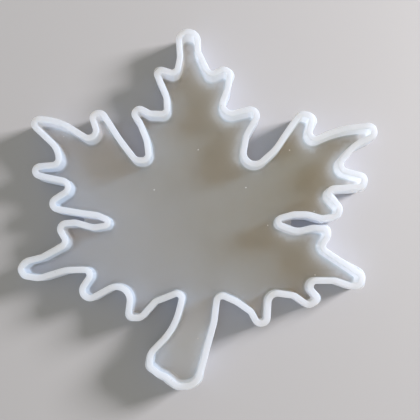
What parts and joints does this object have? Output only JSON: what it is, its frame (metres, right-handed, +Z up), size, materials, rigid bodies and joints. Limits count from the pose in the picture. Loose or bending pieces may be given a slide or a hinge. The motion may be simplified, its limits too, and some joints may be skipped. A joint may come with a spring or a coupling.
{
  "type": "maple leaf silicone mould",
  "caption": "Open one-piece casting mould of translucent silicone rubber: a flat base with an upright wall that follows a toothed maple leaf and its stem.",
  "frame": {"origin": "middle of the outline's box, on the surface that the mould lies on", "axes": "+Z up, out of the cavity's open side; +Y towards the tip of the leaf's top lobe; -Y towards the stem; +X to the right seen from above"},
  "size_m": [0.202, 0.2044, 0.015],
  "materials": {
    "silicone": "smooth milky translucent silicone rubber with a soft gloss"
  },
  "bodies": {
    "root": {"mould": "silicone"}
  },
  "joints": []
}
